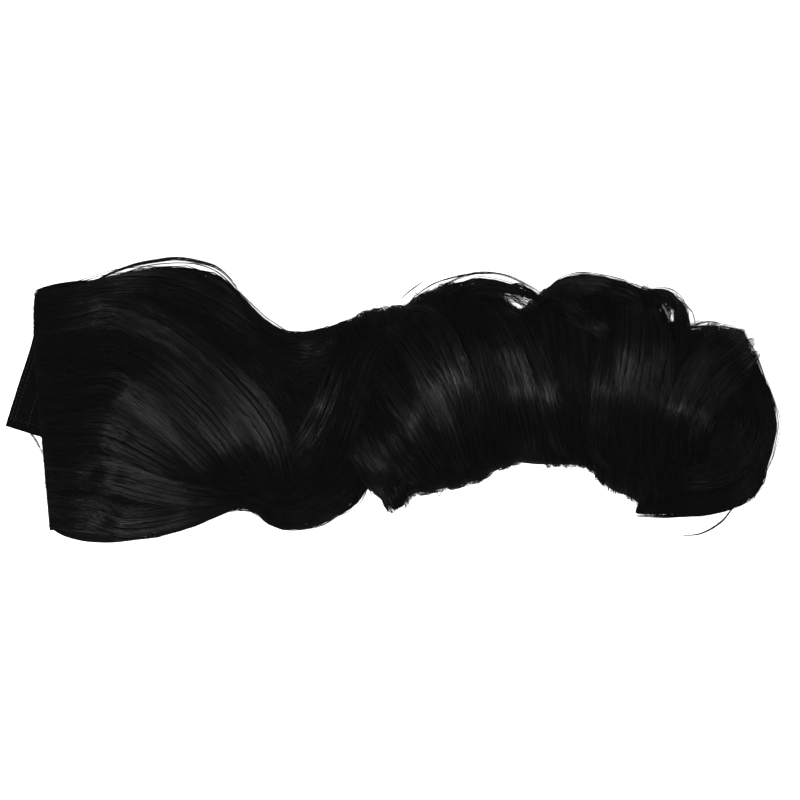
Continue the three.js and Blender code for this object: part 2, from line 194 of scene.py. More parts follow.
fall = np.array([  # x, mid, half width and height of a section
    (-262, -6, 84, 25), (-214, -8.5, 93, 26), (-185, -3.5, 98, 26.8), (-152, 1.5, 95, 28.3),
    (-123, 3.5, 85.5, 30.3), (-109, -1, 75, 31), (-100, -9.5, 72.5, 31), (-90, -16.5, 71, 30),
    (-75, -20, 69, 27.5), (-50, -16, 68, 28.5), (-33, -8.5, 67, 31), (-17, 0, 66, 34),
    (5, 1.5, 67, 41), (14, 1.5, 71.5, 43), (29, 7, 74.5, 45), (45, 10.5, 75.5, 44), (61, 10, 70.5, 42),
    (76, 14, 66, 40), (92, 9.5, 56.5, 39), (104, 13, 62, 37), (113, 16, 65, 35),
    (126, 18, 67, 35), (142, 19, 69.5, 36), (157, 9.5, 76, 42), (171, 5, 77, 46), (188, -1.5, 82, 48),
    (197, -10.5, 72.5, 47.5), (204, -14, 68, 46.5), (217, -14, 67, 45), (235, -12.5, 66, 43),
    (250, -12.5, 61.5, 40), (259, -15, 54, 36), (265, -15, 40, 31), (271, -17, 28, 26),
    (275.5, -17, 14, 20), (278.5, -17, 5, 16),
], float)


def fallAt(x):
    last = len(fall) - 1
    t = np.interp(x, fall[:, 0], np.arange(last + 1)) / last
    return through(fall[:, 1], t), through(fall[:, 2], t), through(fall[:, 3], t)


def fallPoint(x, around):  # around is 0 on the far side, 90 on the ridge and 180 on the near side
    x, around = np.broadcast_arrays(np.asarray(x, float), np.asarray(around, float))
    mid, half, height = fallAt(x)
    angle = np.radians(around)
    y = mid + half * np.cos(angle)
    z = height * (hair["belly"] + (1 - hair["belly"]) * np.sin(angle))
    return np.stack([x, y, z], -1)


def fallFrame(x, around):
    alongX = (fallPoint(x + 1, around) - fallPoint(x - 1, around)) / 2
    alongRound = (fallPoint(x, around + 1) - fallPoint(x, around - 1)) / 2
    return alongX, alongRound, unit(np.cross(alongRound, alongX))


def fallRound(x, y):  # the angle of a place in plan, and how far it lies beside the fall
    mid, half, _ = fallAt(x)
    limit = math.cos(math.radians(hair["sideAngle"]))
    cosine = np.clip((y - mid) / half, -limit, limit)
    return np.degrees(np.arccos(cosine)), y - mid - half * cosine


upperFrames = [weftFrame(t) for t in np.linspace(0, band["upperShare"], band["upperSteps"])]
upperEdge = np.array([edge for edge, _, _, _ in upperFrames])
upperDepth = np.array([depth for _, _, _, depth in upperFrames])


def edgeX(y):
    return np.interp(y, upperEdge[:, 1], upperEdge[:, 0])


def headShare(across, y):  # how much of its depth the sewn hair has at a distance from the stitched edge
    last = len(headProfile) - 1
    lead = np.interp(y, headLead[:, 0], headLead[:, 1]) * smoothStep(0, hair["leadFull"], across)
    t = np.interp(across + lead, headProfile[:, 0], np.arange(last + 1)) / last
    return through(headProfile[:, 1], t)


def headTop(x, y):  # height of the sewn hair over the upper layer
    bottom = np.interp(y, upperEdge[:, 1], upperEdge[:, 2]) + band["wall"] / 2 + band["gap"]
    return bottom + np.interp(y, upperEdge[:, 1], upperDepth) * headShare(x - edgeX(y), y)


# Locks, root to tip. x and y are the plan of the middle line, half is half the width, and crown is how far
# the middle stands out of the fall. sewn is the place and half width on the band of a lock that starts
# there. gloss is how smooth the hair lies along the lock: 1 is a combed face, 0 is hair deep in the pile.
# The same values paint shade into the strands' colour: the lower they are, the darker the strands,
# as shade deep in the pile and in dark stretches of a lock.
sweepLocks = [
    {"x": [-208, -181, -158, -136, -113, -91, -66], "y": [83, 87, 83, 76, 62, 45, 36], "sewn": (76, 7),
     "half": [8, 9, 12, 13, 13, 10, 7], "crown": [4, 5, 6, 5, 4, 2, -3],
     "glossAndShade": [0.2, 0.6, 0.5, 0.3, 0.15, 0.1]},
    {"x": [-208, -190, -159, -127, -98, -82, -76], "y": [65, 62, 48, 22, -11, -44, -82], "sewn": (57, 15),
     "half": [14, 15, 15, 15, 15, 13, 8], "crown": [5.5, 5, 4.5, 4, 5, 6, -3],
     "glossAndShade": [0.1, 0.2, 0.65, 0.95, 0.8, 0.6, 0.7, 0.8, 0.6, 0.2]},
    {"x": [-208, -190, -164, -135, -111, -94], "y": [40, 36, 20, -6, -36, -67], "sewn": (32, 15),
     "half": [14, 15, 16, 16, 15, 9], "crown": [4, 4, 3.5, 4, 5, -3],
     "glossAndShade": [0.1, 0.1, 0.1, 0.1, 0.1, 0.3, 0.8, 0.6, 0.15]},
    {"x": [-208, -195, -176, -150, -128, -110], "y": [10, 5, -7, -30, -52, -67], "sewn": (5, 15),
     "half": [14, 15, 15, 15, 13, 8], "crown": [4, 4, 4, 4, 4, -3],
     "glossAndShade": [0.1, 0.1, 0.15, 0.3, 0.5, 0.6, 0.4, 0.1, 0.1]},
    {"x": [-208, -195, -179, -150, -119], "y": [-23, -28, -36, -53, -68], "sewn": (-23, 15),
     "half": [15, 16, 15, 14, 8], "crown": [4, 4, 4, 4, -3],
     "glossAndShade": [0.1, 0.15, 0.45, 0.7, 0.6, 0.45, 0.15, 0.4]},
    {"x": [-208, -192, -172, -142, -111], "y": [-54, -58, -64, -70, -73], "sewn": (-50, 14),
     "half": [14, 15, 14, 12, 7], "crown": [2, 2, 3, 3, -3],
     "glossAndShade": [0.2, 0.5, 0.7, 0.8, 0.8, 0.6, 0.5, 0.4]},
    {"x": [-208, -194, -176, -148, -116], "y": [-88, -91, -90, -84, -79], "sewn": (-81, 15),
     "half": [13, 13, 13, 11, 6], "crown": [1, 2, 3, 3, -3],
     "glossAndShade": [0.3, 0.6, 0.7, 0.8, 0.7, 0.5, 0.4, 0.3]},
]
waveLocks = [
    {"x": [-102, -88, -69, -49, -31, -18], "y": [-76, -86, -89, -82, -70, -55],
     "half": [7, 11, 12, 12, 11, 7], "crown": [-3, 3, 4, 4, 4, -3], "glossAndShade": 0.1},
    {"x": [-82, -70, -60, -51, -44, -36, -22], "y": [-52, -36, -22, -6, 10, 30, 50],
     "half": [6, 8, 8, 8, 8, 9, 8], "crown": [-3, 3, 5, 6, 6, 5, -3],
     "glossAndShade": [0.4, 0.8, 0.9, 0.7, 0.3, 0.1, 0.1]},
    {"x": [-64, -47, -35, -25, -13, 6], "y": [-80, -51, -20, 9, 36, 57],
     "half": [9, 14, 16, 16, 14, 8], "crown": [-3, 3, 3, 3, 3, -3], "glossAndShade": [0.1, 0.1, 0.08, 0.06, 0.06]},
    {"x": [-90, -69, -52, -33], "y": [40, 36, 38, 47], "half": [6, 9, 9, 6], "crown": [-2, 3, 3, -2],
     "glossAndShade": [0.25, 0.5, 0.4, 0.2]},
]
pocketLocks = [  # between the sweep and the rising ribbon
    {"x": [-130, -103, -82, -69, -63], "y": [50, 32, 10, -14, -38],
     "half": [8, 11, 12, 11, 7], "crown": [-1, 1, 1, 1, -2], "glossAndShade": 0.1},
    {"x": [-112, -88, -70, -58, -47], "y": [47, 27, 12, -2, -14],
     "half": [7, 11, 12, 10, 7], "crown": [-1, 0.5, 0.5, 0.5, -1], "glossAndShade": 0.1},
]
secondLocks = [
    {"x": [-30, -17, -2, 12, 23], "y": [20, -7, -32, -51, -64],
     "half": [10, 14, 15, 13, 8], "crown": [-3, 3, 4, 4, -3], "glossAndShade": [0.06, 0.06, 0.3, 0.65, 0.3]},
    {"x": [-26, -7, 11, 27, 40], "y": [44, 20, -6, -33, -57],
     "half": [10, 14, 15, 14, 9], "crown": [-3, 4, 6, 5, -3], "glossAndShade": [0.1, 0.25, 0.65, 0.5, 0.3]},
    {"x": [-15, 6, 24, 39, 50, 58], "y": [58, 44, 19, -10, -40, -53],
     "half": [9, 13, 14, 14, 12, 8], "crown": [-3, 5, 7, 7, 5, -3],
     "glossAndShade": [0.2, 0.45, 0.65, 0.6, 0.2, 0.1]},
    {"x": [5, 25, 39, 49, 57, 64], "y": [64, 57, 36, 7, -22, -45],
     "half": [8, 12, 12, 12, 11, 7], "crown": [-3, 5, 7, 7, 6, -3],
     "glossAndShade": [0.2, 0.4, 0.6, 0.7, 0.4, 0.1]},
]
thirdLocks = [
    {"x": [38, 52, 63, 72, 77, 82], "y": [70, 60, 38, 4, -26, -42],
     "half": [7, 10, 11, 11, 10, 8], "crown": [-3, 3, 4, 4, 2, -4], "glossAndShade": 0.2},
    {"x": [50, 70, 84, 95, 104], "y": [74, 59, 31, -4, -41],
     "half": [9, 13, 13, 13, 11], "crown": [-3, 5, 8.5, 11, -2], "glossAndShade": [0.2, 0.4, 0.8, 0.75, 0.1]},
    {"x": [62, 86, 99, 112, 125], "y": [71, 57, 33, -8, -40],
     "half": [8, 11, 11, 11, 9], "crown": [-3, 2, 5, 10.5, 2], "glossAndShade": [0.2, 0.3, 0.5, 0.75, 0.2]},
    {"x": [32, 47, 62, 77, 93, 108], "y": [76, 82, 84, 83.5, 80.5, 76],
     "half": [4, 5, 5, 5.5, 6, 5], "crown": [-1, 2, 2, 2, 2, -1], "glossAndShade": 0.25},
    {"x": [102, 119, 135, 150, 157], "y": [72, 70, 61, 51, 36],
     "half": [6, 8, 9, 7, 4], "crown": [-2, 5, 6, 5, -3], "glossAndShade": [0.2, 0.25, 0.3, 0.35, 0.3]},
]
endLocks = [
    {"x": [104, 124, 145, 165, 184], "y": [74, 83.5, 85.5, 80.5, 73],
     "half": [8, 10, 11, 11, 9], "crown": [-2, 3, 3, 4, -1], "glossAndShade": 0.3},
    {"x": [155, 155, 151, 149, 160], "y": [57, 26, -6, -34, -55],
     "half": [9, 13, 13, 13, 8], "crown": [-3, 5, 6, 5, -3], "glossAndShade": [0.4, 0.4, 0.6, 0.2, 0.1]},
    {"x": [171, 172, 167, 164, 174], "y": [76, 44, 7, -29, -62],
     "half": [11, 13, 13, 13, 9], "crown": [-2, 9, 6, 2, -3],
     "glossAndShade": [0.2, 0.3, 0.45, 0.7, 0.35, 0.15, 0.1, 0.1, 0.1]},
    {"x": [186, 189, 188, 184, 188, 191], "y": [74, 44, 11, -22, -55, -78],
     "half": [11, 14, 14, 13, 12, 9], "crown": [-2, 8, 6, 3, 3, -2],
     "glossAndShade": [0.2, 0.3, 0.5, 0.4, 0.15, 0.1, 0.1, 0.1, 0.1]},
    {"x": [184, 195, 203, 208.5, 207, 200], "y": [81, 78, 72, 62, 37, 11],
     "half": [7, 8.5, 7.5, 5.5, 8, 6], "crown": [-2, 2, 2, 4, 5, -3], "glossAndShade": 0.25},
    {"x": [240, 248, 244, 233], "y": [0, -12, -28, -35],
     "half": [6, 8, 8, 5], "crown": [-2, 5, 5, -3], "glossAndShade": 0.18},
    {"x": [254.5, 260, 254.5, 241, 220.5, 198], "y": [15, -10, -34, -50, -57, -60],
     "half": [7, 10, 11, 11, 11, 8], "crown": [-3, 5, 6, 6, 5, -3], "glossAndShade": 0.22},
]
cutLocks = [  # their tips show as cut ends
    {"x": [-35, -24, -9, 0, 3], "y": [-15, -36, -55, -70, -80],
     "half": [8, 11, 14, 14, 8], "crown": [-2, 5, 6, 6, 4], "glossAndShade": [0.1, 0.3, 0.7, 0.45, 0.3]},
    {"x": [201, 201, 210, 224, 243, 258], "y": [-40, -16, 8, 28, 42, 48],
     "half": [7, 11, 12, 12, 11, 10], "crown": [-3, 5, 7, 7, 6, 1], "glossAndShade": [0.1, 0.4, 0.9, 1, 1, 0.9]},
    {"x": [224, 218, 222, 233, 249, 262], "y": [-50, -32, -12, 8, 23, 33],
     "half": [6, 9, 10, 11, 11, 8], "crown": [-3, 4, 5, 5, 5, 1], "glossAndShade": [0.1, 0.15, 0.25, 0.6, 0.8, 0.8]},
    {"x": [259.5, 264, 268.5, 266, 258, 243, 212, 174], "y": [34, 13, -12, -36, -59.5, -73, -79, -82],
     "half": [8, 10, 11, 12, 12, 12, 11, 7], "crown": [-2, 4, 5, 5, 5, 4, 4, 2], "glossAndShade": 0.12},
]


sewnStart = [  # distance from the stitched edge, share of the way to the lock's own line, share of its crown
    (0, 0, 0), (17, 0.15, 0.4), (35, 0.55, 0.75),
]


def sewnLock(lock):  # carries a lock back to the stitched edge
    y, half = lock["sewn"]
    edge = float(edgeX(y))
    aside = lock["y"][0] - y
    crown = lock["crown"][0]
    return {
        "x": [edge + distance for distance, _, _ in sewnStart] + lock["x"],
        "y": [y + share * aside for _, share, _ in sewnStart] + lock["y"],
        "half": [half] * len(sewnStart) + lock["half"],
        "crown": [max(hair["sewnCrown"], share * crown) for _, _, share in sewnStart] + lock["crown"],
        "glossAndShade": lock["glossAndShade"],
    }


def lockMiddle(lock, t):  # its x, its angle on the fall, how far it lies beside the fall, and its place
    x = through(lock["x"], t)
    around, beside = fallRound(x, through(lock["y"], t))
    point = fallPoint(x, around)
    point[..., 1] += beside
    return x, around, beside, point


def lockRipple(lock, rows, u, length):
    phase = lock["x"][0] + hair["ripplePhase"] * lock["y"][0]
    turns = 2 * math.pi * rows[:, None] * length / hair["rippleLength"] + phase
    waves = sum(size * np.sin(rate * turns + slant * u) for size, rate, slant in hair["rippleWaves"])
    return hair["ripple"] * (hair["rippleMean"] + waves) * (1 - u**2) * np.sin(math.pi * rows)[:, None]


def lockSheet(lock):  # the lock's outer surface as a grid, rows from root to tip, and its gloss, which also paints shade
    if "sewn" in lock:
        lock = sewnLock(lock)
    rows = np.linspace(0, 1, hair["sheetRows"])
    u = np.linspace(-1, 1, hair["sheetColumns"])
    step = hair["lockStep"]
    x, around, beside, _ = lockMiddle(lock, rows)
    alongX, alongRound, out = fallFrame(x, around)
    run = lockMiddle(lock, np.minimum(rows + step, 1))[3] - lockMiddle(lock, np.maximum(rows - step, 0))[3]
    across = unit(np.cross(out, run))

    # How far x and the angle change for each millimetre across the lock
    xx, xr, rr = dot(alongX, alongX), dot(alongX, alongRound), dot(alongRound, alongRound)
    ax, ar = dot(across, alongX), dot(across, alongRound)
    perX = (ax * rr - ar * xr) / (xx * rr - xr * xr)
    perRound = (ar * xx - ax * xr) / (xx * rr - xr * xr)
    reach = u[None, :] * through(lock["half"], rows)[:, None]
    px = x[:, None] + reach * perX[:, None]
    pr = around[:, None] + reach * perRound[:, None]

    # Crowned in the middle, sunk at the edges, and over the band level with the sewn hair
    rise = through(lock["crown"], rows)[:, None] * np.sqrt(1 - u**2) - hair["lockEdge"] * u**2
    length = np.linalg.norm(run, axis=1).mean() / (2 * step)
    rise = rise + lockRipple(lock, rows, u, length)
    grid = fallPoint(px, pr) + fallFrame(px, pr)[2] * rise[..., None]
    grid[..., 1] += beside[:, None]
    onHead = 1 - smoothStep(hair["headEnd"] - hair["headBlend"], hair["headEnd"], grid[..., 0])
    grid[..., 2] += (headTop(grid[..., 0], grid[..., 1]) + rise - grid[..., 2]) * onHead

    # Gloss sets roughness and coat, and also paints shade into the colour: lower at the edges, and at the
    # ends where a lock has one value
    shine = lock["glossAndShade"]
    if not isinstance(shine, list):
        shine = [hair["endGloss"] * shine, shine, hair["endGloss"] * shine]
    glossAndShade = through(shine, rows)[:, None] * (1 - hair["edgeShade"] * np.abs(u) ** 3)
    return grid, glossAndShade


under = {"rise": 0.8, "glossAndShade": 0.09, "around": (-34, 214), "columns": 44}   # the hair under the locks; its low gloss also paints it dark, as shade deep in the pile


def alongSheet(xFrom, xTo):  # strands run along the fall
    x = np.linspace(xFrom, xTo, hair["sheetRows"])[:, None]
    around = np.linspace(*under["around"], under["columns"])[None, :]
    return fallPoint(x, around)


def wrapSheet(xFrom, xTo, lean):  # strands run round the fall and lean towards the tips
    t = np.linspace(0, 1, hair["sheetRows"])[:, None]
    x = np.linspace(xFrom, xTo, under["columns"])[None, :] + lean * (t - 0.5)
    first, last = under["around"]
    return fallPoint(x, first + (last - first) * t)


sewnHead = {
    "reach": 50,         # across the band
    "rows": 24,
    "columns": 90,
    "glossAndShade": 0.2,
    "combedGloss": 0.4,  # how much more the near end has, which is combed level, so that end is also painted lighter
    "combedEnd": (-85, -40),
}


def headSheet():  # the sewn hair over the upper layer, round the fold and under the lower layer
    across = np.linspace(headProfile[0, 0], sewnHead["reach"], sewnHead["rows"])
    columns = []
    for t in np.linspace(0, 1, sewnHead["columns"]):
        edge, side, out, depth = weftFrame(t)
        lift = band["wall"] / 2 + band["gap"] + depth * headShare(across, edge[1])
        column = edge + across[:, None] * side + lift[:, None] * out
        column[:, 1] += through(weft[:, 4], t) * across / sewnHead["reach"]
        columns.append(column)
    return np.stack(columns, 1)


ribbon = {"columns": 5, "tip": 0.35}   # tip is the share of its width at its ends


def ribbonSheet(points, half):  # a loose wisp: a narrow ribbon along a path
    t = np.linspace(0, 1, hair["sheetRows"])
    path = np.stack([through(np.array(points)[:, k], t) for k in range(3)], -1)
    side = unit(np.cross(np.gradient(path, axis=0), (0, 0, 1)))
    width = half * (ribbon["tip"] + (1 - ribbon["tip"]) * np.sin(math.pi * t))
    u = np.linspace(-1, 1, ribbon["columns"])
    return path[:, None] + side[:, None] * (width[:, None] * u[None, :])[..., None]


def sheetNormals(grid, upward=False):  # upwards, or out of the fall
    normal = unit(np.cross(np.gradient(grid, axis=1), np.gradient(grid, axis=0)))
    if upward:
        return normal * np.sign(normal[..., 2].sum())
    mid, _, height = fallAt(grid[..., 0])
    centre = np.stack([grid[..., 0], mid, hair["belly"] * height], -1)
    return normal * np.sign(dot(grid - centre, normal).sum())


def linked(name, data):
    obj = bpy.data.objects.new(name, data)
    scene.collection.objects.link(obj)
    return obj


def sheetCarrier(name, sheets):  # one mesh of many sheets, each on its own tile of the attribute "place"
    points, outward, places, glossAndShadeGrids, faces = [], [], [], [], []
    for tile, (grid, normal, glossAndShade) in enumerate(sheets):
        rows, columns = grid.shape[:2]
        base = sum(len(p) for p in points)
        t, u = np.meshgrid(np.linspace(0, 1, rows), np.linspace(0, 1, columns), indexing="ij")
        points.append(inFrame(grid).reshape(-1, 3))
        outward.append(normal.reshape(-1, 3))
        glossAndShadeGrids.append(np.broadcast_to(glossAndShade, (rows, columns)).ravel())
        places.append(np.stack([2 * tile + u, t, 0 * t], -1).reshape(-1, 3))
        corner = base + np.arange(rows * columns).reshape(rows, columns)
        quad = np.stack([corner[:-1, :-1], corner[:-1, 1:], corner[1:, 1:], corner[1:, :-1]], -1)
        faces += quad.reshape(-1, 4).tolist()
    mesh = bpy.data.meshes.new(name)
    mesh.from_pydata(np.concatenate(points).tolist(), [], faces)
    for label, values in (("place", places), ("outward", outward)):
        layer = mesh.attributes.new(label, "FLOAT_VECTOR", "POINT")
        layer.data.foreach_set("vector", np.concatenate(values).astype(np.float32).ravel())
    # Gloss for each point, which also paints shade into the strands' colour
    layer = mesh.attributes.new("glossAndShade", "FLOAT", "POINT")
    layer.data.foreach_set("value", np.concatenate(glossAndShadeGrids).astype(np.float32))
    return linked(name, mesh)


# Node trees

def newTree(name, kind, inputs, outputs):
    tree = bpy.data.node_groups.new(name, kind)
    for way, sockets in (("INPUT", inputs), ("OUTPUT", outputs)):
        for label, socketKind in sockets:
            tree.interface.new_socket(label, in_out=way, socket_type="NodeSocket" + socketKind)
    return tree, tree.nodes.new("NodeGroupInput").outputs, tree.nodes.new("NodeGroupOutput").inputs


def fill(tree, node, sockets):  # links or sets a node's inputs
    for key, value in sockets.items():
        if isinstance(value, bpy.types.NodeSocket):
            tree.links.new(value, node.inputs[key])
        else:
            node.inputs[key].default_value = value
    return node


def addNode(tree, kind, sockets=None, **settings):
    node = tree.nodes.new(kind)
    for label, value in settings.items():
        setattr(node, label, value)
    return fill(tree, node, sockets or {})


def outOf(tree, kind, sockets=None, **settings):  # a new node's first output
    return addNode(tree, kind, sockets, **settings).outputs[0]


def geo(tree, kind, sockets=None, **settings):
    return outOf(tree, "GeometryNode" + kind, sockets, **settings)


def calc(tree, operation, a, b=0.0, c=0.0):
    return outOf(tree, "ShaderNodeMath", {0: a, 1: b, 2: c}, operation=operation)


def baked(carrier):  # the carrier's evaluated form as a plain mesh, and the carrier goes
    graph = bpy.context.evaluated_depsgraph_get()
    mesh = bpy.data.meshes.new_from_object(carrier.evaluated_get(graph), depsgraph=graph)
    spent = carrier.data
    bpy.data.objects.remove(carrier)
    bpy.data.meshes.remove(spent)
    return mesh


def grown(carrier, tree, values, name):  # runs the tree on the carrier and keeps the result
    modifier = carrier.modifiers.new("grow", "NODES")
    modifier.node_group = tree
    for item in tree.interface.items_tree:
        if item.in_out == "INPUT" and item.name in values:
            modifier[item.identifier] = values[item.name]
    mesh = baked(carrier)
    mesh.name = name
    return linked(name, mesh)


def finished(tree, geometry, given, made):  # smooth, realized and with its material
    geometry = geo(tree, "SetShadeSmooth", {"Geometry": geometry})
    geometry = geo(tree, "RealizeInstances", {"Geometry": geometry})
    dressed = geo(tree, "SetMaterial", {"Geometry": geometry, "Material": given["Material"]})
    tree.links.new(dressed, made[0])
    return tree


# Effects that several materials share

fibre = {"toneCurve": 1.6, "combedRoughness": (0.6, 0.4), "coat": (0.1, 0.31)}


def mixed(tree, share, first, second):
    return addNode(tree, "ShaderNodeMix", {0: share, 6: first, 7: second}, data_type="RGBA").outputs[2]


def ranged(tree, value, low, high):  # 0 to 1 becomes low to high
    return outOf(tree, "ShaderNodeMapRange", {0: value, 3: low, 4: high})


def objectPlace(tree):
    return addNode(tree, "ShaderNodeTexCoord").outputs["Object"]


def bumped(tree, height, strength, depth):
    return outOf(tree, "ShaderNodeBump", {"Height": height, "Strength": strength, "Distance": depth})


def fibreShadeGroup():  # black fibre: colour, roughness and coat that change from strand to strand; the second input also paints shade, darkening the colour where it is low
    inputs = [("Tone", "Float"), ("Gloss", "Float"), ("Dark", "Color"), ("Light", "Color")]
    outputs = [("Colour", "Color"), ("Roughness", "Float"), ("Coat", "Float")]
    tree, given, made = newTree("fibreShade", "ShaderNodeTree", inputs, outputs)
    # Colour follows the tone, darkened where the second input is low: painted shade
    spread = calc(tree, "MULTIPLY", calc(tree, "POWER", given["Tone"], fibre["toneCurve"]), given["Gloss"])
    tree.links.new(mixed(tree, spread, given["Dark"], given["Light"]), made["Colour"])
    combed = ranged(tree, given["Tone"], *fibre["combedRoughness"])
    tree.links.new(ranged(tree, given["Gloss"], 1.0, combed), made["Roughness"])
    shine = ranged(tree, given["Tone"], *fibre["coat"])
    tree.links.new(calc(tree, "MULTIPLY", given["Gloss"], shine), made["Coat"])
    return tree


def cloudGroup():  # slow changes over a surface, for dust and wear
    inputs = [("Scale", "Float"), ("Contrast", "Float")]
    tree, given, made = newTree("cloud", "ShaderNodeTree", inputs, [("Mask", "Float")])
    grain = {"Vector": objectPlace(tree), "Scale": given["Scale"], "Detail": 4.0, "Roughness": 0.6}
    noise = calc(tree, "SUBTRACT", outOf(tree, "ShaderNodeTexNoise", grain), 0.5)
    mask = outOf(tree, "ShaderNodeMath", {0: noise, 1: given["Contrast"], 2: 0.5}, operation="MULTIPLY_ADD",
                 use_clamp=True)
    tree.links.new(mask, made["Mask"])
    return tree


def weaveGroup():  # a plain weave: threads over and under each other
    inputs = [("Across", "Float"), ("Along", "Float"), ("Pitch", "Float")]
    outputs = [("Height", "Float"), ("Mask", "Float")]
    tree, given, made = newTree("plainWeave", "ShaderNodeTree", inputs, outputs)
    turns = [calc(tree, "DIVIDE", given[k], given["Pitch"]) for k in ("Across", "Along")]
    warp, weftThread = (calc(tree, "SINE", calc(tree, "MULTIPLY", t, 2 * math.pi)) for t in turns)
    crossing = calc(tree, "MULTIPLY_ADD", calc(tree, "MULTIPLY", warp, weftThread), 0.5, 0.5)
    tree.links.new(crossing, made["Height"])
    tree.links.new(calc(tree, "SMOOTH_MIN", crossing, 0.8, 0.2), made["Mask"])
    return tree


fibreShade, cloud, plainWeave = fibreShadeGroup(), cloudGroup(), weaveGroup()


def newMaterial(name):
    material = bpy.data.materials.new(name)
    material.use_nodes = True
    return material, material.node_tree, material.node_tree.nodes["Principled BSDF"]


def placed(tree, group, **values):
    return addNode(tree, "ShaderNodeGroup", values, node_tree=group).outputs


def settle(piece, slotName, *nodes):
    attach(piece, "root")
    if nodes:
        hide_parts(*nodes)
    piece.data.calc_loop_triangles()
    print(piece.name, len(piece.data.loop_triangles), "triangles")
    return piece


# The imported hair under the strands, from the frame's own solid

core = {
    "weld": 1e-5,
    "voxel": 0.0022,
    "smoothing": 5,
    "softness": 0.5,
    "inset": 0.0011,
    "dark": (0.0005, 0.0005, 0.0005, 1),
    "light": (0.0012, 0.0012, 0.0012, 1),
    "clouds": {"Scale": 60.0, "Contrast": 2.0},
    "roughness": 0.8,
    "specular": 0.03,
    "streaks": (90.0, 900.0, 900.0),   # fine across the fall
    "streakBump": 0.6,
    "streakDepth": 0.0006,
}


def coreMaterial():
    material, tree, surface = newMaterial("packed hair")
    mask = placed(tree, cloud, **core["clouds"])["Mask"]
    shade = placed(tree, fibreShade, Tone=mask, Gloss=1.0, Dark=core["dark"], Light=core["light"])
    stretch = outOf(tree, "ShaderNodeMapping", {"Vector": objectPlace(tree), "Scale": core["streaks"]})
    streak = outOf(tree, "ShaderNodeTexNoise", {"Vector": stretch, "Scale": 1.0, "Detail": 2.0})
    fill(tree, surface, {
        "Base Color": shade["Colour"], "Roughness": core["roughness"],
        "Specular IOR Level": core["specular"],
        "Normal": bumped(tree, streak, core["streakBump"], core["streakDepth"]),
    })
    return material


def packedHair():
    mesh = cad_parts["hair_fall"].data.copy()
    work = bmesh.new()
    work.from_mesh(mesh)
    bmesh.ops.remove_doubles(work, verts=work.verts, dist=core["weld"])
    work.to_mesh(mesh)
    work.free()
    carrier = linked("packed hair carrier", mesh)
    even = carrier.modifiers.new("even", "REMESH")
    even.mode = "VOXEL"
    even.voxel_size = core["voxel"]
    soften = carrier.modifiers.new("soften", "SMOOTH")
    soften.factor = core["softness"]
    soften.iterations = core["smoothing"]
    inset = carrier.modifiers.new("inset", "DISPLACE")
    inset.mid_level = 0.0
    inset.strength = -core["inset"]
    made = baked(carrier)
    made.materials.clear()
    made.materials.append(coreMaterial())
    made.polygons.foreach_set("use_smooth", np.ones(len(made.polygons), bool))
    return linked("hair_core", made)


settle(packedHair(), "hair", "hair_fall")


# Strands

strands = {
    "points": 14,
    "radius": 0.32 * mm,
    "lift": 0.7 * mm,
    "tuck": 1.6 * mm,
    "drift": 0.22,
    "clumps": 7.0,
    "clumping": 0.6,
    "shortest": 0.45,
    "longest": 1.0,
    "ragged": 0.06,      # tips end within this last share of a lock
    "splay": 0.0,        # how far tips spread over the lock's width
    "kink": 3.4 * mm,    # how far a bunch waves in and out
    "waves": 8.0,        # on the length of a lock
    "stray": 5.0 * mm,
}
strandHabit = {
    "rootPlace": (0.1, 0.9),      # where along a strand its seed point may lie
    "endMargin": 0.003,           # strands keep this far inside a sheet's ends
    "sideMargin": 0.006,
    "bunchStep": 40.0,            # keeps the numbers of the bunches of two sheets apart
    "rootPull": 0.4,              # share of the clumping at the root
    "wander": (0.731, 2.6),       # steps of the drift from strand to strand and along the sheet
    "swingStep": 3.71,            # step of the waves from bunch to bunch
    "splayPower": 6.0,
    "tuckPower": 4.0,
    "strayPower": 24.0,           # the higher, the fewer strands stand proud
    "ownTone": 0.55,              # the rest of the tone is the bunch's
    "sheen": (0.2, 0.6),          # of a strand, and as much again of its bunch
    "glossAndShadeShift": (0.03, 0.05),   # along the sheet, of a strand and of a bunch
    "thickness": (0.6, 1.25),
    "taper": 0.75,
    "sides": 3,
}
hairLook = {
    "dark": (0.0004, 0.0004, 0.00045, 1),
    "light": (0.0014, 0.0014, 0.0015, 1),
    "coatRoughness": 0.27,
    "ior": 1.5,
    "specular": 0.06,
    "specularTint": (0.95, 0.92, 1.0, 1.0),
}


def hairMaterial():
    material, tree, surface = newMaterial("black hair fibre")
    tone, glossAndShade = (addNode(tree, "ShaderNodeAttribute", attribute_name=label).outputs["Fac"]
                   for label in ("tone", "glossAndShade"))
    # The gloss attribute sets roughness and coat, and also paints shade into the colour where it is low
    shade = placed(tree, fibreShade, Tone=tone, Gloss=glossAndShade, Dark=hairLook["dark"], Light=hairLook["light"])
    fill(tree, surface, {
        "Base Color": shade["Colour"], "Roughness": shade["Roughness"], "Coat Weight": shade["Coat"],
        "Coat Roughness": hairLook["coatRoughness"], "IOR": hairLook["ior"],
        "Specular IOR Level": hairLook["specular"], "Specular Tint": hairLook["specularTint"],
    })
    return material


